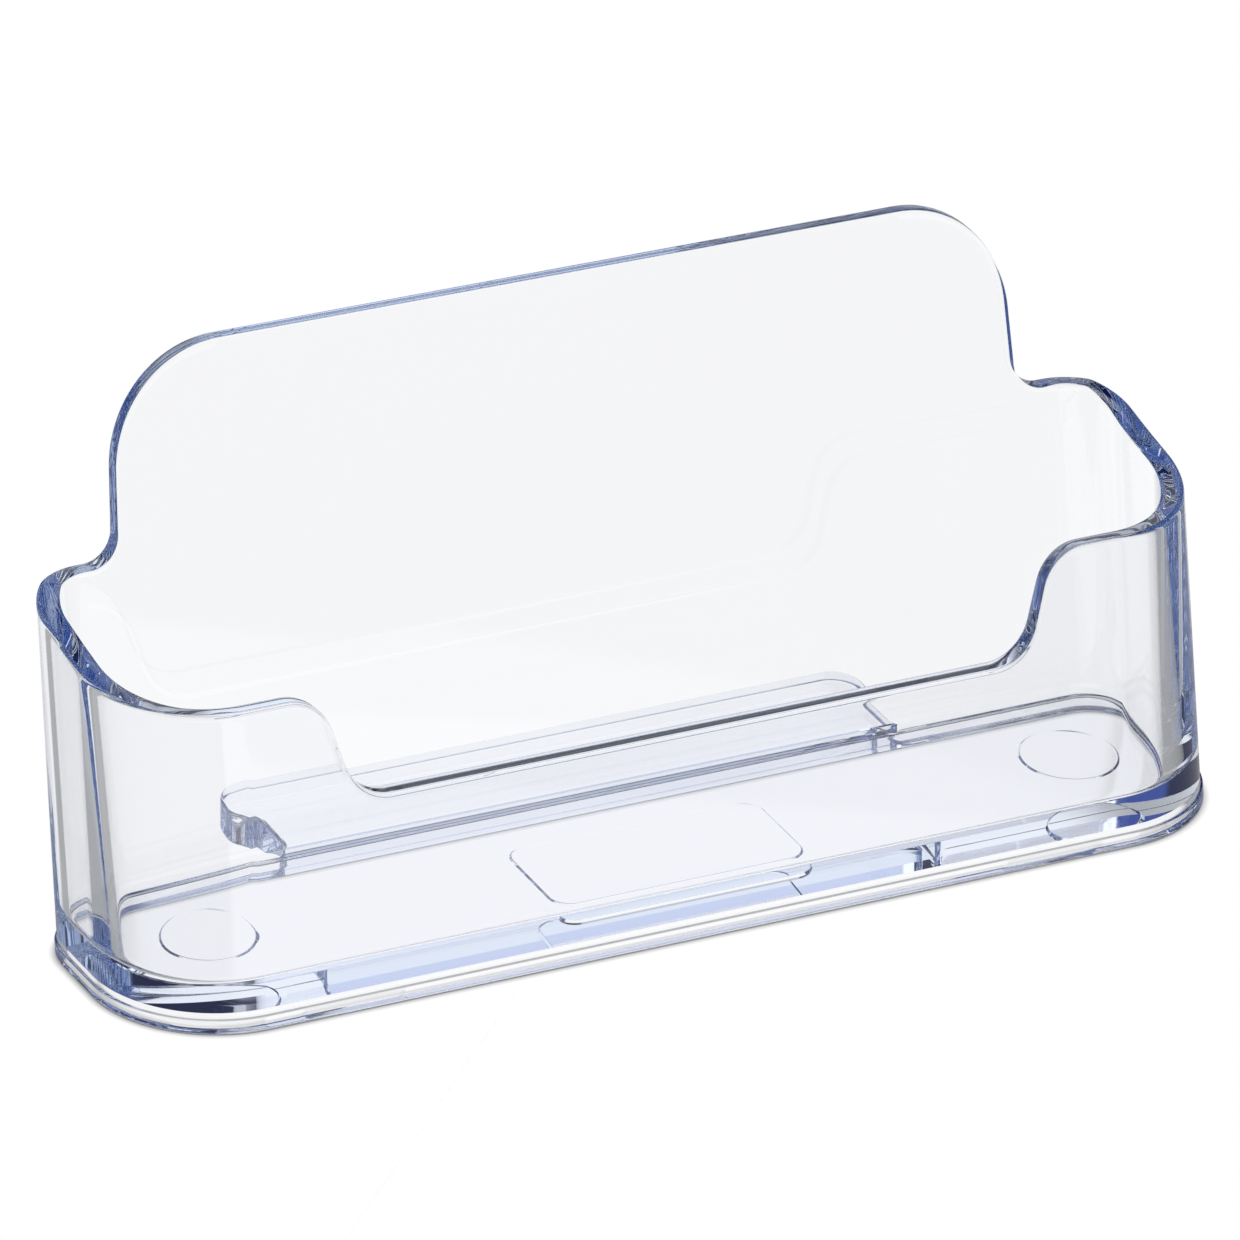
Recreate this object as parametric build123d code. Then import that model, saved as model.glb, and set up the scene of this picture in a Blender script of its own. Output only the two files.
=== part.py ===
from build123d import *
import os
from math import acos, cos, degrees, radians, sin, tan

# Card stand moulded in one shot from clear polystyrene: a tub with rounded corners that leans back,
# a scooped front wall, a tall back panel, a level floor on a low foot ring and a tab behind as rear foot.
# The moulding is written as the sections that a mould maker dimensions, cut from one another on flat
# planes so that they meet face to face.
# X runs left to right, Y from front to back, Z up. The origin is on the table, at the middle of the
# footprint of base and rear foot.

os.makedirs("parts", exist_ok=True)

# Driving dimensions, in millimetres and degrees

base_width = 98.0
base_depth = 21.4
lean_angle = 12.1
side_draft_angle = 0.75
front_corner_radius = 10.0
back_corner_radius = 5.5

foot_ring_height = 1.2
foot_ring_width = 1.5
foot_ring_step = 0.2
floor_thickness = 1.8

front_wall_at_floor = 2.3
front_wall_at_rim = 1.5
side_wall_at_floor = 2.7
side_wall_at_rim = 1.9
back_wall_at_floor = 2.1
back_wall_at_top = 1.05

front_rim_height = 25.1
back_rim_height = 28.6
side_rim_sag = 0.5

scoop_lip_height = 16.5
scoop_width = 61.8
scoop_flank_angle = 73.0
scoop_radius = 4.0

panel_height = 44.8
panel_width_at_rim = 80.2
panel_side_angle = 3.0
panel_corner_radius = 9.6
panel_root_radius = 2.5

rear_foot_thickness = 2.8
rear_foot_reach = 11.0
rear_foot_neck_length = 4.5
rear_foot_neck_width = 54.4
rear_foot_head_width = 57.8
rear_foot_flare_radius = 2.0
rear_foot_corner_radius = 2.4
rear_foot_root_radius = 1.2

ejector_mark_radius = 4.0
ejector_mark_spacing = 76.8
ejector_mark_offset = 1.4
insert_mark_width = 22.3
insert_mark_depth = 9.4
insert_mark_corner = 1.65
insert_mark_offset = -0.35
mark_recess = 0.15

# How far a cutting block reaches past the moulding on each side
cut_margin = 10.0

# Most of the room between two corners that their fillets may take together
fillet_share = 0.95

# Sizes that follow from the ones above

lean = tan(radians(lean_angle))
side_draft = tan(radians(side_draft_angle))
floor_height = foot_ring_height + floor_thickness
base_middle = -rear_foot_reach / 2
base_front = base_middle - base_depth / 2
base_back = base_middle + base_depth / 2
block_low = -cut_margin
block_high = panel_height + cut_margin
wide = base_width + 2 * cut_margin
deep = base_depth + rear_foot_reach + block_high * lean + 2 * cut_margin


def between(z, low_z, low_value, high_z, high_value):
    """Value at height z on the straight line through two heights."""
    return low_value + (high_value - low_value) * (z - low_z) / (high_z - low_z)


def side_wall(z):
    return between(z, floor_height, side_wall_at_floor, back_rim_height, side_wall_at_rim)


def front_wall_thickness(z):
    return between(z, floor_height, front_wall_at_floor, front_rim_height, front_wall_at_rim)


def back_wall(z):
    return between(z, floor_height, back_wall_at_floor, panel_height, back_wall_at_top)


def outer_half_width(z):
    return base_width / 2 - foot_ring_step - z * side_draft


def outer_front(z):
    return base_front + foot_ring_step + z * lean


def outer_back(z):
    return base_back - foot_ring_step + z * lean


def inner_front(z):
    return outer_front(z) + front_wall_thickness(z)


def inner_back(z):
    return outer_back(z) - back_wall(z)


def inner_half_width(z):
    return outer_half_width(z) - side_wall(z)


def leaning_block(front, back, half_width, front_radius, back_radius):
    """Tall block whose four sides are flat, each at its own slope, with the edges between them rounded.
    The sides are given as functions of height."""
    side_view = Polygon(
        (front(block_low), block_low),
        (back(block_low), block_low),
        (back(block_high), block_high),
        (front(block_high), block_high),
        align=None,
    )
    front_view = Polygon(
        (-half_width(block_low), block_low),
        (half_width(block_low), block_low),
        (half_width(block_high), block_high),
        (-half_width(block_high), block_high),
        align=None,
    )
    block = extrude(Plane.YZ * side_view, amount=wide / 2, both=True)
    block &= extrude(Plane.XZ * front_view, amount=deep, both=True)
    for pair, radius in ((slice(0, 2), front_radius), (slice(-2, None), back_radius)):
        rising = block.edges().filter_by(lambda edge: abs(edge.tangent_at(0).Z) > 0.5)
        block = fillet(rising.sort_by(Axis.Y)[pair], radius)
    return block


def outer_block(grow=0.0):
    """Outside of the walls, moved outwards by grow."""
    return leaning_block(
        lambda z: outer_front(z) - grow,
        lambda z: outer_back(z) + grow,
        lambda z: outer_half_width(z) + grow,
        front_corner_radius + grow,
        back_corner_radius + grow,
    )


def pocket_block():
    """Inside of the walls. Its corners follow the outer ones, less the mean wall there."""
    front_radius = front_corner_radius - (side_wall_at_floor + front_wall_at_floor) / 2
    back_radius = back_corner_radius - (side_wall_at_floor + back_wall_at_floor) / 2
    return leaning_block(inner_front, inner_back, inner_half_width, front_radius, back_radius)


def layer(low_z, high_z):
    """Everything between two heights."""
    return Pos(0, 0, (low_z + high_z) / 2) * Box(2 * wide, 2 * deep, high_z - low_z)


def below_rim():
    """Everything under the rim seen from the side: level on the front wall, rising along the end walls
    in a shallow arc, level again on the back wall."""
    rim_front = inner_front(front_rim_height)
    rim_back = inner_back(back_rim_height)
    rise = SagittaArc((rim_front, front_rim_height), (rim_back, back_rim_height), -side_rim_sag)
    rest = Polyline(
        (rim_back, back_rim_height),
        (deep, back_rim_height),
        (deep, -cut_margin),
        (-deep, -cut_margin),
        (-deep, front_rim_height),
        (rim_front, front_rim_height),
    )
    return extrude(Plane.YZ * make_face([rise, rest]), amount=wide / 2, both=True)


def panel_zone():
    """Upright outline of the back panel, with round top corners and hollow fillets on to the shoulders."""
    rim_half = panel_width_at_rim / 2
    rise = panel_height - back_rim_height
    top_half = rim_half - rise * tan(radians(panel_side_angle))
    # The fillets at the two ends of a panel side share its height
    root_radius = min(panel_root_radius, fillet_share * rise / 2)
    corner_radius = min(panel_corner_radius, fillet_share * rise - root_radius)
    outline = Polygon(
        (-wide / 2, floor_height),
        (wide / 2, floor_height),
        (wide / 2, back_rim_height),
        (rim_half, back_rim_height),
        (top_half, panel_height),
        (-top_half, panel_height),
        (-rim_half, back_rim_height),
        (-wide / 2, back_rim_height),
        align=None,
    )
    roots = outline.vertices().filter_by(lambda v: abs(abs(v.X) - rim_half) < 1e-6)
    outline = fillet(roots, root_radius)
    outline = fillet(outline.vertices().group_by(Axis.Y)[-1], corner_radius)
    # Starts at the inner face of the back wall, level with the rim there
    start = Plane.XZ.offset(-inner_back(back_rim_height))
    return extrude(start * outline, amount=-deep)


def scoop_zone():
    """Upright outline of the scoop: a level lip that sweeps up to the shoulders in two S-curves."""
    flank = radians(scoop_flank_angle)
    rise = front_rim_height - scoop_lip_height
    # Both arcs of an S-curve fit in the height from lip to shoulder, with a straight stretch between
    radius = min(scoop_radius, fillet_share * rise / (2 * (1 - cos(flank))))
    straight = (rise - 2 * radius * (1 - cos(flank))) / sin(flank)
    lip_half = scoop_width / 2 - radius * sin(flank) - straight / 2 * cos(flank)
    lip = Line((-lip_half, scoop_lip_height), (lip_half, scoop_lip_height))
    sides = []
    for side in (1, -1):
        lip_end = (side * lip_half, scoop_lip_height)
        hollow = JernArc(lip_end, (side, 0), radius, side * scoop_flank_angle)
        flat = Line(hollow @ 1, hollow @ 1 + straight * (hollow % 1))
        crown = JernArc(flat @ 1, flat % 1, radius, -side * scoop_flank_angle)
        sides.append([hollow, flat, crown])
    right_end = sides[0][-1] @ 1
    left_end = sides[1][-1] @ 1
    above = front_rim_height + cut_margin
    cap = Polyline(right_end, (right_end.X, above), (left_end.X, above), left_end)
    outline = make_face([lip, *sides[0], *sides[1], cap])
    # Reaches from in front of the wall to the middle of the pocket
    return extrude(Plane.XZ.offset(-pocket_middle) * outline, amount=deep)


def wall_slab(half_width, front, back):
    """Upright block that holds one long wall."""
    middle = Pos(0, (front + back) / 2, block_high / 2)
    return middle * Box(2 * half_width, back - front, block_high)


def rear_foot_plan():
    """Plan of the rear foot: hollow fillets at the wall, a neck, an S-curve out to a wider head with
    round corners behind."""
    rear = base_back + rear_foot_reach
    neck = rear_foot_neck_width / 2
    head = rear_foot_head_width / 2
    turn = degrees(acos(1 - (head - neck) / (2 * rear_foot_flare_radius)))
    root = neck + 2 * rear_foot_root_radius
    edges = [Line((-root, base_middle), (root, base_middle))]
    corners = []
    for side in (1, -1):
        start = (side * neck, base_back + rear_foot_neck_length)
        fillet_foot = (side * (neck + rear_foot_root_radius), base_back)
        fillet_head = (side * neck, base_back + rear_foot_root_radius)
        out = JernArc(start, (0, 1), rear_foot_flare_radius, -side * turn)
        back = JernArc(out @ 1, out % 1, rear_foot_flare_radius, side * turn)
        corner_start = (side * head, rear - rear_foot_corner_radius)
        corner = JernArc(corner_start, (0, 1), rear_foot_corner_radius, side * 90)
        corners.append(corner @ 1)
        edges += [
            Polyline((side * root, base_middle), (side * root, base_back), fillet_foot),
            JernArc(fillet_foot, (-side, 0), rear_foot_root_radius, -side * 90),
            Line(fillet_head, start),
            out,
            back,
            Line(back @ 1, corner_start),
            corner,
        ]
    edges.append(Line(*corners))
    return make_face(edges)


# Middle of the pocket, clear of both long walls at every height
pocket_middle = (inner_front(front_rim_height) + inner_back(floor_height)) / 2

# Walls above the floor, as one shell

outside = outer_block()
shell = (outside - pocket_block()) & layer(floor_height, panel_height)
shell = (shell & (below_rim() + panel_zone())) - scoop_zone()

# The long walls end where their corners begin to turn

front_half = outer_half_width(front_rim_height) - front_corner_radius
back_half = outer_half_width(back_rim_height) - back_corner_radius
front_slab = wall_slab(front_half, -deep, pocket_middle)
back_slab = wall_slab(back_half, pocket_middle, deep)
front_wall = shell & front_slab
back_panel = shell & back_slab
end_walls = (shell - front_slab - back_slab).solids().sort_by(Axis.X)

# Floor on its foot ring, with the mould's ejector and insert marks in the underside

ring_layer = layer(0, foot_ring_height)
ring_outside = outer_block(foot_ring_step) & ring_layer
foot_ring = ring_outside - outer_block(foot_ring_step - foot_ring_width)
floor_plate = outside & layer(foot_ring_height, floor_height)
ejector_mark = Circle(ejector_mark_radius)
insert_mark = RectangleRounded(insert_mark_width, insert_mark_depth, insert_mark_corner)
marks = [
    Pos(-ejector_mark_spacing / 2, base_middle + ejector_mark_offset) * ejector_mark,
    Pos(ejector_mark_spacing / 2, base_middle + ejector_mark_offset) * ejector_mark,
    Pos(0, base_middle + insert_mark_offset) * insert_mark,
]
for mark in marks:
    floor_plate -= extrude(Pos(0, 0, foot_ring_height) * mark, amount=mark_recess)

# Rear foot, cut to the back of the moulding so that it lies flat against it

rear_foot = extrude(rear_foot_plan(), amount=rear_foot_thickness) - outside - ring_outside

sections = {
    "floor_plate": floor_plate,
    "foot_ring": foot_ring,
    "front_wall": front_wall,
    "back_panel": back_panel,
    "left_end_wall": end_walls[0],
    "right_end_wall": end_walls[-1],
    "rear_foot": rear_foot,
}
for name, section in sections.items():
    export_step(section, f"parts/{name}.step")
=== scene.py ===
"""Card stand moulded from clear polystyrene, standing empty on a white table in soft studio light."""

from math import acos, cos, degrees, radians, sin, tan

import bmesh
import bpy
import numpy as np
from mathutils import Matrix, Vector


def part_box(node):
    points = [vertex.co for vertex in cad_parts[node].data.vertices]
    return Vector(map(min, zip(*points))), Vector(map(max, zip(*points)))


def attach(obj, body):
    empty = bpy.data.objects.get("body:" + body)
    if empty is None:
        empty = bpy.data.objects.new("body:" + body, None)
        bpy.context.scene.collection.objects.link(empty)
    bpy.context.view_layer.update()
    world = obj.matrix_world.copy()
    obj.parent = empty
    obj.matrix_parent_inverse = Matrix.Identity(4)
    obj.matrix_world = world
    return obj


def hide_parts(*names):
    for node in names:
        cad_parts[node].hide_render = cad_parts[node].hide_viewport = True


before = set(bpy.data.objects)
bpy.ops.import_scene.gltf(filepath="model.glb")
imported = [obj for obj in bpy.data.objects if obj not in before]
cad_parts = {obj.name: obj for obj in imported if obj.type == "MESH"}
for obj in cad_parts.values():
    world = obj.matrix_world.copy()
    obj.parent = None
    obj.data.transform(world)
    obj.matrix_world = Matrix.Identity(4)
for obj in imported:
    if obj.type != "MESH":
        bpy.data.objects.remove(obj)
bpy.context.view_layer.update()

MM = 0.001

# Camera: the photograph's viewing angle, in degrees and millimetres
VIEW_AZIMUTH = -28.494
VIEW_ELEVATION = 27.041
VIEW_ROLL = 2.605
VIEW_AIM = (-2.172, -2.834, 22.140)
VIEW_DISTANCE = 964.0
LENS = 356.0
SENSOR = 36.0
CLIP_START = 10.0
CLIP_END = 50000.0

# Table: half its side and its gap below the stand, in millimetres, and its brightness, where 1 is white
TABLE_HALF = 6000.0
TABLE_GAP = 0.02
TABLE_LIGHT = 1.0

# Painted contact shade on the table where the wall stands, taken out of the table's glow by how near the
# wall is:
# how far it reaches and how far behind the base it ends, in millimetres, the share of the light that it
# takes, and the rays that feel for the wall
CONTACT_REACH = 0.6
CONTACT_MARGIN = 0.3
PAINTED_CONTACT_SHADE = 1.0
CONTACT_SAMPLES = 8

# Painted shade for light that was reflected on its way, as in the corners of the wall: the table's glow is
# painted dimmer towards the sides, in place of a studio that is dark there: its share of the light, and the
# distances from the middle over which it falls to that, in millimetres
PAINTED_SIDE_LEVEL = 0.42
PAINTED_SIDE_SHADE = (39.0, 47.0)

# Light panels of the studio as seen from the stand: azimuth from the way the camera looks, to its right,
# elevation, half width and half height in degrees, colour, and brightness, where 1 is plain white
LIGHT_PANELS = {
    "sweep": (0.0, -40.0, 190.0, 44.0, "#ffffff", 1.0),
    "backdrop": (0.0, 27.0, 15.0, 15.0, "#e0e4f0", 1.0),
    "rear_left": (-30.0, 37.0, 15.0, 6.0, "#ffffff", 1.3),
    "rear_right": (26.0, 59.0, 20.0, 8.0, "#ffffff", 1.4),
    "side": (112.0, 42.0, 28.0, 24.0, "#ffffff", 0.6),
    "ceiling": (-12.0, 56.0, 24.0, 11.0, "#3c5296", 1.0),
}
PANEL_EDGE = 3.0
ROOM_COLOUR = "#141d42"

# Light turns many times inside clear plastic before it leaves
LIGHT_BOUNCES = 160

# Clear polystyrene: its index, the tint of its skin, its blue toner and the amount of it to the metre, and
# the waves in its skin: their spacing and height in millimetres, and how much of the height shows
POLYSTYRENE_IOR = 1.59
SKIN_TINT = "#fdfdfe"
TONER_COLOUR = "#009ef1"
TONER_DENSITY = 7.5
WAVE_SPACING = 9.0
WAVE_HEIGHT = 0.05
WAVE_STRENGTH = 0.003


def box_mm(node):
    """Lowest and highest corner of a CAD node, in millimetres."""
    return [np.array(corner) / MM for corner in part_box(node)]


# Sizes of the moulding, in millimetres and degrees, read from the frame where a node's box gives them
ring_low, ring_high = box_mm("foot_ring")
_, floor_high = box_mm("floor_plate")
_, panel_high = box_mm("back_panel")
_, front_high = box_mm("front_wall")
_, end_high = box_mm("left_end_wall")
_, foot_high = box_mm("rear_foot")

BASE_HALF = ring_high[0]
BASE_FRONT = ring_low[1]
BASE_DEPTH = 21.4
BASE_BACK = BASE_FRONT + BASE_DEPTH
BASE_MIDDLE = (BASE_FRONT + BASE_BACK) / 2
RING_HEIGHT = ring_high[2]
RING_WIDTH = 1.5
RING_STEP = 0.2
FLOOR_TOP = floor_high[2]
FRONT_RIM = front_high[2]
BACK_RIM = end_high[2]
PANEL_TOP = panel_high[2]

# Walls: lean and draft, corner radii, thickness at the floor and at the rim, and sag of the end walls' rim
LEAN = tan(radians(12.1))
SIDE_DRAFT = tan(radians(0.75))
FRONT_CORNER = 10.0
BACK_CORNER = 5.5
FRONT_WALL = (2.3, 1.5)
SIDE_WALL = (2.7, 1.9)
BACK_WALL = (2.1, 1.3)
RIM_SAG = 0.5

LIP_HEIGHT = 16.5
SCOOP_HALF = 30.9
SCOOP_FLANK = 73.0
SCOOP_RADIUS = 4.0

PANEL_HALF = 40.1
PANEL_SLOPE = tan(radians(3.0))
PANEL_CORNER = 9.6
PANEL_ROOT = 2.5

# Rear foot. It sinks into the foot ring, so that the two grow together, and its sole lies a hair higher
FOOT_NECK = 27.2
FOOT_HEAD = foot_high[0]
FOOT_REAR = foot_high[1]
FOOT_TOP = foot_high[2]
FOOT_NECK_LENGTH = 4.5
FOOT_FLARE = 2.0
FOOT_CORNER = 2.4
FOOT_ROOT = 1.2
FOOT_SINK = 0.8
FOOT_SOLE = 0.02

# Mould marks in the underside: two round ones, a rectangular one between them, and the groove round each.
# The form that cuts one starts below the underside
MARK_RADIUS = 4.0
MARK_SPACING = 38.4
MARK_OFFSET = 1.4
INSERT_HALF_WIDTH = 11.15
INSERT_HALF_DEPTH = 4.7
INSERT_CORNER = 1.65
INSERT_OFFSET = -0.35
MARK_RECESS = 0.15
MARK_LINE = 0.12
MARK_GROOVE = 0.6 * MARK_LINE
MARK_START = 0.3

# Rim: its outer and inner round, the steepest fall of its inner part in degrees, and the share of the
# thickness that is level. Then the rounds of the other edges
RIM_OUTSIDE = 0.35
RIM_INSIDE = 0.15
RIM_FALL = 16.0
RIM_LEVEL = 0.5
FLOOR_ROUND = 0.6
RING_ROUND = 0.3
FOOT_ROUND = 0.3

# Inner edge of the ring's sole: its reach, and how far its round stays from the corner
SOLE_EDGE = 0.14
SOLE_EDGE_MIDDLE = 0.04
# Fine step from the ring in to the wall, at the parting line: heights over the ring and distances inwards
PARTING_STEP = ((-0.12, 0.0), (-0.04, 0.03), (0.0, 0.09), (0.02, RING_STEP - 0.03), (0.07, RING_STEP))

# Rows of the walls: where they start over the ring, their heights as shares of the wall, one more close to
# the floor inside, and the width of the strips beside hard edges, which keep flat faces flat
WALL_START = 0.3
WALL_SHARES = (0.0, 0.2, 0.45, 0.7, 0.9, 0.985)
NEAR_FLOOR = 0.02
STRIP = 0.02

# Points round each corner, along each end wall and over each round
FRONT_CORNER_POINTS = 34
BACK_CORNER_POINTS = 26
END_WALL_POINTS = 24
RIM_OUTSIDE_POINTS = 7
RIM_FALL_POINTS = 6
RIM_INSIDE_POINTS = 6
FLOOR_ROUND_POINTS = 8
RING_ROUND_POINTS = 7
FOOT_ROUND_POINTS = 6

# Rounds in which the rim's height settles, the distance below which points are one, the angle from which an
# edge is hard, and the share that larger faces have in the normals, in percent
SETTLE_ROUNDS = 6
MERGE_DISTANCE = 0.001
HARD_EDGE = 40.0
FACE_WEIGHT = 100


def between(z, low_z, high_z, values):
    """Straight line through two heights, evaluated at z."""
    return values[0] + (values[1] - values[0]) * (z - low_z) / (high_z - low_z)


def side_wall(z):
    """Thickness of an end wall at height z."""
    return between(z, FLOOR_TOP, BACK_RIM, SIDE_WALL)


def front_wall(z):
    """Thickness of the front wall at height z."""
    return between(z, FLOOR_TOP, FRONT_RIM, FRONT_WALL)


def back_wall(z):
    """Thickness of the back wall and its panel at height z."""
    return between(z, FLOOR_TOP, PANEL_TOP, BACK_WALL)


def half_width(z):
    """Half the width over the end walls, which draw in upwards by their draft."""
    return BASE_HALF - RING_STEP - z * SIDE_DRAFT


def front_face(z):
    """Place of the front wall's outer face along y, which leans back."""
    return BASE_FRONT + RING_STEP + z * LEAN


def back_face(z):
    """Place of the back wall's outer face along y, which leans back alike."""
    return BASE_BACK - RING_STEP + z * LEAN


# The long walls are straight between these half widths, and the corners turn outside them
FRONT_STRAIGHT = half_width(FRONT_RIM) - FRONT_CORNER
BACK_STRAIGHT = half_width(BACK_RIM) - BACK_CORNER


def turns(start, end, points):
    """Evenly spaced angles from start to end in degrees, both included, as radians."""
    return np.radians(np.linspace(start, end, points))


def arc(centre, radius, start, end, points):
    """Points of a circle arc in a plane, from one angle to another in degrees."""
    turn = turns(start, end, points)
    return np.stack([centre[0] + radius * np.cos(turn), centre[1] + radius * np.sin(turn)], 1)


def straight(start, end, points):
    """Evenly spaced points from start to end, both included."""
    step = np.linspace(0.0, 1.0, points)[:, None]
    return np.asarray(start) * (1 - step) + np.asarray(end) * step


def chain(*pieces):
    """Runs put one after another, without the points that they share."""
    return np.concatenate([pieces[0]] + [piece[1:] for piece in pieces[1:]])


def mirrored(half):
    """A run from the right end to the middle, carried on to the left end."""
    return np.concatenate([half, (half * [-1, 1])[-2::-1]])


def scoop_outline():
    """Front rim in the plane of width and height, from right to left: level shoulder, crown arc, straight
    flank, hollow arc, level lip, and the same back up."""
    flank = radians(SCOOP_FLANK)
    rise = FRONT_RIM - LIP_HEIGHT
    length = (rise - 2 * SCOOP_RADIUS * (1 - cos(flank))) / sin(flank)
    reach = SCOOP_RADIUS * sin(flank) + length / 2 * cos(flank)
    crown_centre = (SCOOP_HALF + reach, FRONT_RIM - SCOOP_RADIUS)
    hollow_centre = (SCOOP_HALF - reach, LIP_HEIGHT + SCOOP_RADIUS)
    crown = arc(crown_centre, SCOOP_RADIUS, 90, 90 + SCOOP_FLANK, points=22)
    hollow = arc(hollow_centre, SCOOP_RADIUS, SCOOP_FLANK - 90, -90, points=22)
    return mirrored(
        chain(
            straight((FRONT_STRAIGHT, FRONT_RIM), crown[0], points=5),
            crown,
            straight(crown[-1], hollow[0], points=6),
            hollow,
            straight(hollow[-1], (0, LIP_HEIGHT), points=24),
        )
    )


def panel_outline():
    """Back rim in the plane of width and height, from right to left: level shoulder, hollow root fillet,
    side that draws in upwards, round corner, level top, and the same back down."""
    slope = degrees(np.arctan(PANEL_SLOPE))
    # Distance from a corner of a sloping side to where its fillet touches, for a unit radius
    touch = tan(radians(90 - slope) / 2)
    root = (PANEL_HALF + PANEL_ROOT * touch, BACK_RIM + PANEL_ROOT)
    corner_x = PANEL_HALF - (PANEL_TOP - BACK_RIM) * PANEL_SLOPE
    corner = (corner_x - PANEL_CORNER * touch, PANEL_TOP - PANEL_CORNER)
    root_fillet = arc(root, PANEL_ROOT, 270, 180 + slope, points=20)
    corner_round = arc(corner, PANEL_CORNER, slope, 90, points=44)
    return mirrored(
        chain(
            straight((BACK_STRAIGHT, BACK_RIM), root_fillet[0], points=3),
            root_fillet,
            straight(root_fillet[-1], corner_round[0], points=16),
            corner_round,
            straight(corner_round[-1], (0, PANEL_TOP), points=24),
        )
    )


def rim_rise(y):
    """Height of the rim over an end wall: level over the front wall, then a shallow arc up to the level of
    the back shoulders. The arc is a parabola whose sag below its chord is RIM_SAG."""
    start = front_face(FRONT_RIM) + front_wall(FRONT_RIM)
    end = back_face(BACK_RIM) - back_wall(BACK_RIM)
    part = np.clip((y - start) / (end - start), 0, 1)
    return FRONT_RIM + (BACK_RIM - FRONT_RIM) * part - 4 * RIM_SAG * part * (1 - part)


class Stations:
    """Columns of the wall all the way round, seen from above counter-clockwise from the front left.

    Each column stands on a spine point and faces one way: its place at height z is the spine point plus the
    facing direction times the distance from spine to wall. Columns of the front and back walls keep their
    x at every height; those of a corner share a spine point and turn; those of an end wall share a facing
    and move along y, from part 0 at the front to part 1 at the back."""

    def __init__(self):
        runs = [
            self.long_wall(scoop_outline()[::-1], FRONT_STRAIGHT, 0.0),
            self.corner(1, FRONT_STRAIGHT, 0.0, turns(-90, 0, FRONT_CORNER_POINTS)[1:-1]),
            self.end_wall(1, np.linspace(0, 1, END_WALL_POINTS)),
            self.corner(1, BACK_STRAIGHT, 1.0, turns(0, 90, BACK_CORNER_POINTS)[1:-1]),
            self.long_wall(panel_outline(), BACK_STRAIGHT, 1.0),
            self.corner(-1, BACK_STRAIGHT, 1.0, turns(90, 180, BACK_CORNER_POINTS)[1:-1]),
            self.end_wall(-1, np.linspace(1, 0, END_WALL_POINTS)),
            self.corner(-1, FRONT_STRAIGHT, 0.0, turns(180, 270, FRONT_CORNER_POINTS)[1:-1]),
        ]
        columns = np.concatenate(runs).T
        self.x, self.limit, self.face_x, self.face_y, self.part, self.rim, self.in_x, self.in_z = columns
        self.in_front = self.part < 0.5
        self.settle_rim()

    @staticmethod
    def long_wall(outline, limit, part):
        """Columns under an upright outline, with the direction that leads from the rim into the wall."""
        along = np.gradient(outline, axis=0)
        along /= np.linalg.norm(along, axis=1)[:, None]
        inward = np.stack([along[:, 1], -along[:, 0]], 1)
        inward = np.where(inward[:, 1:] > 0, -inward, inward)
        count = len(outline)
        facing = np.full(count, -1.0 if part == 0 else 1.0)
        fixed = [np.full(count, limit), np.zeros(count), facing, np.full(count, part)]
        return np.stack([outline[:, 0], *fixed, outline[:, 1], inward[:, 0], inward[:, 1]], 1)

    @staticmethod
    def corner(side, limit, part, turn):
        """Columns that turn round one spine point."""
        count = len(turn)
        fixed = [np.full(count, side * limit), np.full(count, limit), np.cos(turn), np.sin(turn)]
        down = [np.full(count, part), np.full(count, FRONT_RIM), np.zeros(count), np.full(count, -1.0)]
        return np.stack(fixed + down, 1)

    @staticmethod
    def end_wall(side, parts):
        """Columns along an end wall, from the front spine (part 0) to the back one (part 1)."""
        count = len(parts)
        limit = FRONT_STRAIGHT + (BACK_STRAIGHT - FRONT_STRAIGHT) * parts
        fixed = [side * limit, limit, np.full(count, float(side)), np.zeros(count), parts]
        return np.stack(fixed + [np.full(count, FRONT_RIM), np.zeros(count), np.full(count, -1.0)], 1)

    def place(self, z, inset=0.0, depth=0.0, shift=0.0):
        """Points of all columns at heights z. Inset is the share of the wall's thickness, from 0 outside to
        1 inside, depth a further distance inwards in millimetres, and shift a step along x."""
        z = np.broadcast_to(z, self.x.shape).astype(float)
        spine_front = front_face(z) + FRONT_CORNER
        spine_back = back_face(z) - BACK_CORNER
        reach_x = half_width(z) - inset * side_wall(z) - self.limit - depth
        reach_front = FRONT_CORNER - inset * front_wall(z) - depth
        reach_back = BACK_CORNER - inset * back_wall(z) - depth
        x = self.x + shift + self.face_x * reach_x
        y = spine_front * (1 - self.part) + spine_back * self.part
        y = y + self.face_y * np.where(self.in_front, reach_front, reach_back)
        return np.stack([x, y, z], 1)

    def thickness(self, z):
        """Thickness of the wall at heights z, across the way that each column faces."""
        long_wall = np.where(self.in_front, front_wall(z), back_wall(z))
        return np.hypot(self.face_x * side_wall(z), self.face_y * long_wall)

    def below_rim(self, drop):
        """Heights of the columns, and their steps along x, at a distance from the rim into the wall."""
        return self.rim + drop * self.in_z, drop * self.in_x

    def settle_rim(self):
        """Rim heights of corners and end walls: the rise is a function of y, and y itself moves with height
        because the walls lean, so the two are solved together in a few rounds."""
        loose = self.face_x != 0
        for _ in range(SETTLE_ROUNDS):
            height = rim_rise(self.place(self.rim)[:, 1])
            self.rim = np.where(loose, height, self.rim)


def closed_mesh(name, rows):
    """Mesh of a tube-like surface: rows of equally many points, each row closed on itself and joined to the
    next by quads, with a flat cap on the first and the last row."""
    rows = np.asarray(rows)
    count, wide = rows.shape[:2]
    index = np.arange(count * wide).reshape(count, wide)
    beside = np.roll(index, -1, axis=1)
    quads = np.stack([index[:-1], beside[:-1], beside[1:], index[1:]], -1).reshape(-1, 4)
    mesh = bpy.data.meshes.new(name)
    faces = quads.tolist() + [index[0][::-1].tolist(), index[-1].tolist()]
    mesh.from_pydata((rows.reshape(-1, 3) * MM).tolist(), [], faces)
    mesh.validate()
    return mesh


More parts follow.
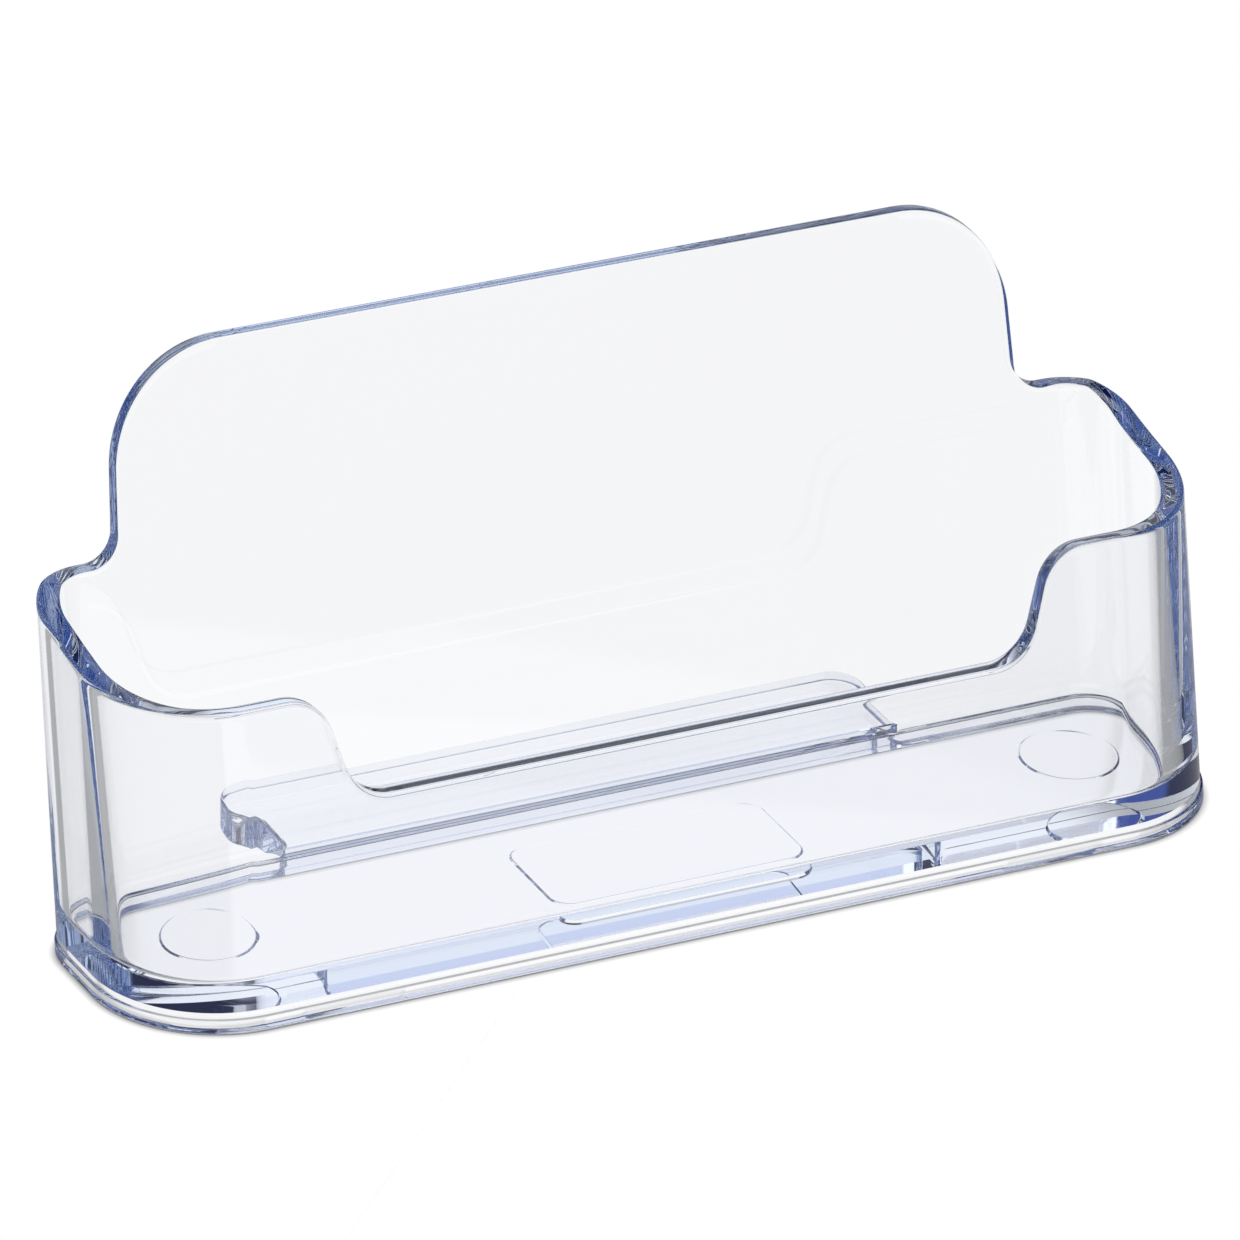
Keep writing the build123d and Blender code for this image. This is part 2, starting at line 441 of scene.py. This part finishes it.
def rim_profile(wall):
    """Cross-section of the rim over walls of the given thickness, from outside to inside: a round, a level
    stretch to RIM_LEVEL of the thickness, a long shallow arc that falls inwards to RIM_FALL, and a small
    round down into the inner face, all tangent. Gives the share of the thickness and the drop below the top
    for each row."""
    fall = radians(RIM_FALL)
    turn = turns(90, 0, RIM_OUTSIDE_POINTS)[:, None] + np.zeros_like(wall)
    outer_across = RIM_OUTSIDE * (1 - np.sin(turn))
    outer_drop = RIM_OUTSIDE * (1 - np.cos(turn))
    # Radius of the long arc, from the width that the level stretch and the small round leave for it
    bend = (wall * (1 - RIM_LEVEL) - RIM_INSIDE * (1 - sin(fall))) / sin(fall)
    turn = turns(0, RIM_FALL, RIM_FALL_POINTS)[:, None]
    arc_across = wall * RIM_LEVEL + bend * np.sin(turn)
    arc_drop = bend * (1 - np.cos(turn))
    turn = turns(RIM_FALL, 90, RIM_INSIDE_POINTS)[1:, None]
    inner_across = wall - RIM_INSIDE * (1 - np.sin(turn))
    inner_drop = arc_drop[-1] + RIM_INSIDE * (cos(fall) - np.cos(turn))
    across = np.concatenate([outer_across, arc_across, inner_across]) / wall
    return across, np.concatenate([outer_drop, arc_drop, inner_drop])


def moulding_rows():
    """Rows of the tub, from the middle of the underside outwards, up the outside, over the rim and down the
    inside to the middle of the floor. Every row runs once round the plan."""
    columns = Stations()
    ring_out = -RING_STEP
    ring_in = RING_WIDTH - RING_STEP
    # Underside: inner wall of the foot ring, its sole and its outer wall
    rows = [
        columns.place(RING_HEIGHT, depth=ring_in + STRIP),
        columns.place(RING_HEIGHT, depth=ring_in),
        columns.place(RING_HEIGHT - STRIP, depth=ring_in),
        columns.place(SOLE_EDGE, depth=ring_in),
        columns.place(SOLE_EDGE_MIDDLE, depth=ring_in - SOLE_EDGE_MIDDLE),
        columns.place(0.0, depth=ring_in - SOLE_EDGE),
    ]
    for turn in turns(0, 90, RING_ROUND_POINTS):
        retreat = RING_ROUND * (1 - np.sin(turn))
        rows.append(columns.place(RING_ROUND - RING_ROUND * np.cos(turn), depth=ring_out + retreat))
    for lift, step in PARTING_STEP:
        rows.append(columns.place(RING_HEIGHT + lift, depth=ring_out + step))
    # Outer wall, up to where the rim begins to round over, and the rim
    across, drop = rim_profile(columns.thickness(columns.rim))
    edge, slide = columns.below_rim(drop[0])
    foot = RING_HEIGHT + WALL_START
    for share in WALL_SHARES:
        rows.append(columns.place(foot + (edge - foot) * share, shift=slide))
    for inset, retreat in zip(across, drop):
        edge, slide = columns.below_rim(retreat)
        rows.append(columns.place(edge, inset=inset, shift=slide))
    # Inner wall, from the rim's last row down to the fillet on the floor, and the fillet
    foot = FLOOR_TOP + FLOOR_ROUND
    for share in (*WALL_SHARES[:0:-1], NEAR_FLOOR, 0.0):
        rows.append(columns.place(foot + (edge - foot) * share, inset=1.0, shift=slide))
    for turn in turns(0, 90, FLOOR_ROUND_POINTS)[1:]:
        z = FLOOR_TOP + FLOOR_ROUND * (1 - np.sin(turn))
        rows.append(columns.place(z, inset=1.0, depth=FLOOR_ROUND * (1 - np.cos(turn)), shift=slide))
    rows.append(columns.place(FLOOR_TOP, inset=1.0, depth=FLOOR_ROUND + STRIP, shift=slide))
    return rows


def foot_plan():
    """Plan of the rear foot, counter-clockwise: hollow root fillets at the wall, a neck, an S-curve of two
    arcs out to the wider head, round rear corners."""
    turn = degrees(acos(1 - (FOOT_HEAD - FOOT_NECK) / (2 * FOOT_FLARE)))
    flare_start = BASE_BACK + FOOT_NECK_LENGTH
    flare_end = flare_start + 2 * FOOT_FLARE * sin(radians(turn))
    root_x = FOOT_NECK + FOOT_ROOT
    root_y = BASE_BACK + FOOT_ROOT
    sunk = BASE_BACK - FOOT_SINK
    corner_x = FOOT_HEAD - FOOT_CORNER
    corner_y = FOOT_REAR - FOOT_CORNER
    half = chain(
        straight((0, sunk), (root_x, sunk), points=12),
        straight((root_x, sunk), (root_x, BASE_BACK), points=3),
        arc((root_x, root_y), FOOT_ROOT, 270, 180, points=12),
        straight((FOOT_NECK, root_y), (FOOT_NECK, flare_start), points=5),
        arc((FOOT_NECK + FOOT_FLARE, flare_start), FOOT_FLARE, 180, 180 - turn, points=12),
        arc((FOOT_HEAD - FOOT_FLARE, flare_end), FOOT_FLARE, -turn, 0, points=12),
        straight((FOOT_HEAD, flare_end), (FOOT_HEAD, corner_y), points=3),
        arc((corner_x, corner_y), FOOT_CORNER, 0, 90, points=16),
        straight((corner_x, FOOT_REAR), (0, FOOT_REAR), points=24),
    )
    # The last point would be the first once more
    return mirrored(half)[:-1]


def inset_plan(plan, distance):
    """Closed counter-clockwise outline moved inwards along the bisector of its neighbours."""
    along = np.roll(plan, -1, axis=0) - np.roll(plan, 1, axis=0)
    along /= np.linalg.norm(along, axis=1)[:, None]
    return plan + distance * np.stack([-along[:, 1], along[:, 0]], 1)


def at_height(plan, z):
    """Plan laid level at height z."""
    return np.column_stack([plan, np.full(len(plan), z)])


def foot_rows():
    """Rows of the rear foot from its sole to its top, with both edges rounded by quarter circles."""
    plan = foot_plan()
    turn = turns(0, 90, FOOT_ROUND_POINTS)
    falling = FOOT_ROUND * (1 - np.sin(turn))
    rising = FOOT_ROUND * (1 - np.cos(turn))
    sole = [at_height(inset_plan(plan, step), FOOT_SOLE + lift) for step, lift in zip(falling, rising)]
    top = [at_height(inset_plan(plan, step), FOOT_TOP - drop) for step, drop in zip(rising, falling)]
    return sole + top


def mark_rows(plan):
    """Tray-shaped form that cuts one shallow mould mark into the underside, with a fine groove as the line
    round its edge."""
    return [
        at_height(inset_plan(plan, -MARK_LINE), RING_HEIGHT - MARK_START),
        at_height(inset_plan(plan, -MARK_LINE), RING_HEIGHT),
        at_height(plan, RING_HEIGHT + MARK_RECESS + MARK_GROOVE),
        at_height(inset_plan(plan, MARK_LINE), RING_HEIGHT + MARK_RECESS),
    ]


def ejector_plan(x):
    """Circle of an ejector pin, counter-clockwise, without its first point once more at the end."""
    return arc((x, BASE_MIDDLE + MARK_OFFSET), MARK_RADIUS, 0, 360, points=97)[:-1]


def insert_plan():
    """Rounded rectangle of the mould insert, counter-clockwise from the rear right corner."""
    across = INSERT_HALF_WIDTH - INSERT_CORNER
    along = INSERT_HALF_DEPTH - INSERT_CORNER
    middle = BASE_MIDDLE + INSERT_OFFSET
    corners = ((across, along, 0), (-across, along, 90), (-across, -along, 180), (across, -along, 270))
    return np.concatenate(
        [arc((x, middle + y), INSERT_CORNER, turn, turn + 90, points=10) for x, y, turn in corners]
    )


def new_object(name, data):
    """Object in the scene, at the origin."""
    made = bpy.data.objects.new(name, data)
    bpy.context.scene.collection.objects.link(made)
    return made


def merge(target, tool, operation):
    """Joins or cuts the target with another closed mesh, which is then removed."""
    change = target.modifiers.new(operation, "BOOLEAN")
    change.operation = operation
    change.solver = "MANIFOLD"
    change.object = tool
    shaped = target.evaluated_get(bpy.context.evaluated_depsgraph_get())
    mesh = bpy.data.meshes.new_from_object(shaped)
    target.modifiers.remove(change)
    target.data = mesh
    bpy.data.objects.remove(tool)


def soften(target):
    """Smooth shading with hard edges kept, and normals that lean to the larger faces, so that flat walls
    stay flat right up to their rounded rims."""
    shape = bmesh.new()
    shape.from_mesh(target.data)
    bmesh.ops.remove_doubles(shape, verts=shape.verts, dist=MERGE_DISTANCE * MM)
    shape.to_mesh(target.data)
    shape.free()
    target.data.shade_smooth()
    target.data.set_sharp_from_angle(angle=radians(HARD_EDGE))
    weighted = target.modifiers.new("flat_walls", "WEIGHTED_NORMAL")
    weighted.keep_sharp = True
    weighted.weight = FACE_WEIGHT


def make_moulding():
    """The whole stand as one closed surface: tub, rear foot and the marks in the underside."""
    moulding = new_object("card_stand_moulding", closed_mesh("card_stand_moulding", moulding_rows()))
    merge(moulding, new_object("rear_foot_form", closed_mesh("rear_foot_form", foot_rows())), "UNION")
    for plan in (ejector_plan(-MARK_SPACING), ejector_plan(MARK_SPACING), insert_plan()):
        tool = new_object("mark_form", closed_mesh("mark_form", mark_rows(plan)))
        merge(moulding, tool, "DIFFERENCE")
    moulding.data.name = "card_stand_moulding"
    soften(moulding)
    return moulding


def linear(hex_colour):
    """sRGB hex value as linear red, green, blue and full alpha."""
    channels = np.array([int(hex_colour[i : i + 2], 16) for i in (1, 3, 5)]) / 255
    low = channels / 12.92
    high = ((channels + 0.055) / 1.055) ** 2.4
    return (*np.where(channels <= 0.04045, low, high).tolist(), 1.0)


def add_node(tree, kind, inputs=None, **settings):
    """Adds a node with its settings. An input is a value, or an output socket to link from."""
    node = tree.nodes.new(kind)
    for name, value in settings.items():
        setattr(node, name, value)
    for name, value in (inputs or {}).items():
        if isinstance(value, bpy.types.NodeSocket):
            tree.links.new(value, node.inputs[name])
        else:
            node.inputs[name].default_value = value
    return node


def new_material(name):
    """Material with an empty node tree."""
    made = bpy.data.materials.new(name)
    made.use_nodes = True
    made.node_tree.nodes.clear()
    return made


def clear_polystyrene():
    """General purpose polystyrene from a polished mould: water clear, strongly refracting, with a trace of
    blue toner that only shows over long paths, along the rims and in the corners."""
    made = new_material("clear_polystyrene_polished")
    tree = made.node_tree
    place = add_node(tree, "ShaderNodeTexCoord")
    # Flow of the melt leaves the skin very slightly wavy
    flow = add_node(
        tree,
        "ShaderNodeTexNoise",
        {"Vector": place.outputs["Object"], "Scale": 1 / (WAVE_SPACING * MM), "Detail": 2.0},
    )
    skin = add_node(
        tree,
        "ShaderNodeBump",
        {"Height": flow.outputs["Fac"], "Strength": WAVE_STRENGTH, "Distance": WAVE_HEIGHT * MM},
    )
    surface = add_node(
        tree,
        "ShaderNodeBsdfPrincipled",
        {
            "Base Color": linear(SKIN_TINT),
            "Roughness": 0.0,
            "IOR": POLYSTYRENE_IOR,
            "Transmission Weight": 1.0,
            "Normal": skin.outputs["Normal"],
        },
    )
    toner = add_node(
        tree, "ShaderNodeVolumeAbsorption", {"Color": linear(TONER_COLOUR), "Density": TONER_DENSITY}
    )
    add_node(
        tree,
        "ShaderNodeOutputMaterial",
        {"Surface": surface.outputs["BSDF"], "Volume": toner.outputs["Volume"]},
    )
    return made


def white_table():
    """White table top that glows evenly, plain white in the open. Shade is painted into its glow where the
    wall stands on it, in place of the little light that comes down inside a wall; behind the base, under
    the rear foot, none is painted. To light that was reflected on its way its glow is painted dimmer
    towards the sides, in place of the dark sides of the studio."""
    made = new_material("white_table_top")
    tree = made.node_tree
    place = add_node(tree, "ShaderNodeTexCoord")
    split = add_node(tree, "ShaderNodeSeparateXYZ", {"Vector": place.outputs["Object"]})
    under_base = add_node(
        tree,
        "ShaderNodeMath",
        {0: split.outputs["Y"], 1: (BASE_BACK + CONTACT_MARGIN) * MM},
        operation="LESS_THAN",
    )
    # Painted contact shade: the table's glow is taken down where the wall stands close over it
    near = add_node(
        tree, "ShaderNodeAmbientOcclusion", {"Distance": CONTACT_REACH * MM}, samples=CONTACT_SAMPLES
    )
    covered = add_node(tree, "ShaderNodeMath", {0: 1.0, 1: near.outputs["AO"]}, operation="SUBTRACT")
    shade = add_node(
        tree, "ShaderNodeMath", {0: covered.outputs[0], 1: under_base.outputs[0]}, operation="MULTIPLY"
    )
    glow_after_painted_shade = add_node(
        tree,
        "ShaderNodeMath",
        {0: shade.outputs[0], 1: -PAINTED_CONTACT_SHADE * TABLE_LIGHT, 2: TABLE_LIGHT},
        operation="MULTIPLY_ADD",
    )
    path = add_node(tree, "ShaderNodeLightPath")
    reflected = add_node(
        tree, "ShaderNodeMath", {0: path.outputs["Glossy Depth"], 1: 1.0}, operation="MINIMUM"
    )
    aside = add_node(tree, "ShaderNodeMath", {0: split.outputs["X"]}, operation="ABSOLUTE")
    # Painted shade for reflected rays: the table's glow falls towards its sides
    painted_side_loss = add_node(
        tree,
        "ShaderNodeMapRange",
        {
            "Value": aside.outputs[0],
            "From Min": PAINTED_SIDE_SHADE[0] * MM,
            "From Max": PAINTED_SIDE_SHADE[1] * MM,
            "To Min": 0.0,
            "To Max": PAINTED_SIDE_LEVEL - 1,
        },
        interpolation_type="SMOOTHSTEP",
    )
    change = add_node(
        tree, "ShaderNodeMath", {0: painted_side_loss.outputs["Result"], 1: reflected.outputs[0]}, operation="MULTIPLY"
    )
    level = add_node(
        tree,
        "ShaderNodeMath",
        {0: glow_after_painted_shade.outputs[0], 1: change.outputs[0], 2: glow_after_painted_shade.outputs[0]},
        operation="MULTIPLY_ADD",
    )
    glow = add_node(tree, "ShaderNodeEmission", {"Color": linear("#ffffff"), "Strength": level.outputs[0]})
    add_node(tree, "ShaderNodeOutputMaterial", {"Surface": glow.outputs["Emission"]})
    return made


def make_table():
    """Square table top a hair below the stand, wide enough to fill every view."""
    corners = np.array([(-1, -1), (1, -1), (1, 1), (-1, 1)]) * TABLE_HALF
    mesh = bpy.data.meshes.new("table_top")
    mesh.from_pydata((at_height(corners, -TABLE_GAP) * MM).tolist(), [], [(0, 1, 2, 3)])
    mesh.materials.append(white_table())
    new_object("table_top", mesh)


def light_panel(tree, azimuth, elevation, half_across, half_up, colour, brightness):
    """Glow of one soft-edged panel in the direction that is looked at, as a shader socket. Its strength is
    the product of two smooth steps, one across the panel and one up it."""
    turn = radians(VIEW_AZIMUTH - azimuth)
    place = add_node(tree, "ShaderNodeTexCoord")
    ahead, right, up = [
        add_node(
            tree, "ShaderNodeVectorMath", {0: place.outputs["Generated"], 1: axis}, operation="DOT_PRODUCT"
        ).outputs["Value"]
        for axis in ((-sin(turn), cos(turn), 0.0), (cos(turn), sin(turn), 0.0), (0.0, 0.0, 1.0))
    ]
    sideways = add_node(tree, "ShaderNodeMath", {0: right, 1: ahead}, operation="ARCTAN2")
    lift = add_node(tree, "ShaderNodeMath", {0: up}, operation="ARCSINE")
    level = brightness
    for angle, middle, half in ((sideways, 0.0, half_across), (lift, elevation, half_up)):
        off = add_node(
            tree, "ShaderNodeMath", {0: angle.outputs[0], 1: radians(middle)}, operation="SUBTRACT"
        )
        size = add_node(tree, "ShaderNodeMath", {0: off.outputs[0]}, operation="ABSOLUTE")
        level = add_node(
            tree,
            "ShaderNodeMapRange",
            {
                "Value": size.outputs[0],
                "From Min": radians(half - PANEL_EDGE),
                "From Max": radians(half + PANEL_EDGE),
                "To Min": level,
                "To Max": 0.0,
            },
            interpolation_type="SMOOTHSTEP",
        ).outputs["Result"]
    glow = add_node(tree, "ShaderNodeBackground", {"Color": linear(colour), "Strength": level})
    return glow.outputs["Background"]


def make_studio():
    """Dark blue room with large soft panels: white ones behind the stand and at its right, a blue one
    overhead, and a white sweep all round that carries the table on past the horizon."""
    world = bpy.data.worlds.new("studio")
    bpy.context.scene.world = world
    world.use_nodes = True
    tree = world.node_tree
    tree.nodes.clear()
    room = add_node(tree, "ShaderNodeBackground", {"Color": linear(ROOM_COLOUR), "Strength": 1.0})
    seen = room.outputs["Background"]
    for panel in LIGHT_PANELS.values():
        both = add_node(tree, "ShaderNodeAddShader", {0: seen, 1: light_panel(tree, *panel)})
        seen = both.outputs["Shader"]
    add_node(tree, "ShaderNodeOutputWorld", {"Surface": seen})


def make_camera():
    """Camera on a sphere round the aim point, rolled about its own axis."""
    azimuth, elevation = radians(VIEW_AZIMUTH), radians(VIEW_ELEVATION)
    back = Vector((sin(azimuth) * cos(elevation), -cos(azimuth) * cos(elevation), sin(elevation)))
    data = bpy.data.cameras.new("camera")
    data.lens = LENS
    data.sensor_width = SENSOR
    data.clip_start = CLIP_START * MM
    data.clip_end = CLIP_END * MM
    camera = new_object("camera", data)
    turn = back.to_track_quat("Z", "Y").to_matrix().to_4x4() @ Matrix.Rotation(radians(VIEW_ROLL), 4, "Z")
    camera.matrix_world = Matrix.Translation((Vector(VIEW_AIM) + VIEW_DISTANCE * back) * MM) @ turn
    bpy.context.scene.camera = camera


moulding = make_moulding()
# Joining the forms leaves an empty material slot behind
moulding.data.materials.clear()
moulding.data.materials.append(clear_polystyrene())
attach(moulding, "root")
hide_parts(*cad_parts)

make_table()
make_studio()
make_camera()

scene = bpy.context.scene
scene.view_settings.view_transform = "Standard"
scene.cycles.max_bounces = LIGHT_BOUNCES
scene.cycles.transmission_bounces = LIGHT_BOUNCES
scene.cycles.glossy_bounces = LIGHT_BOUNCES
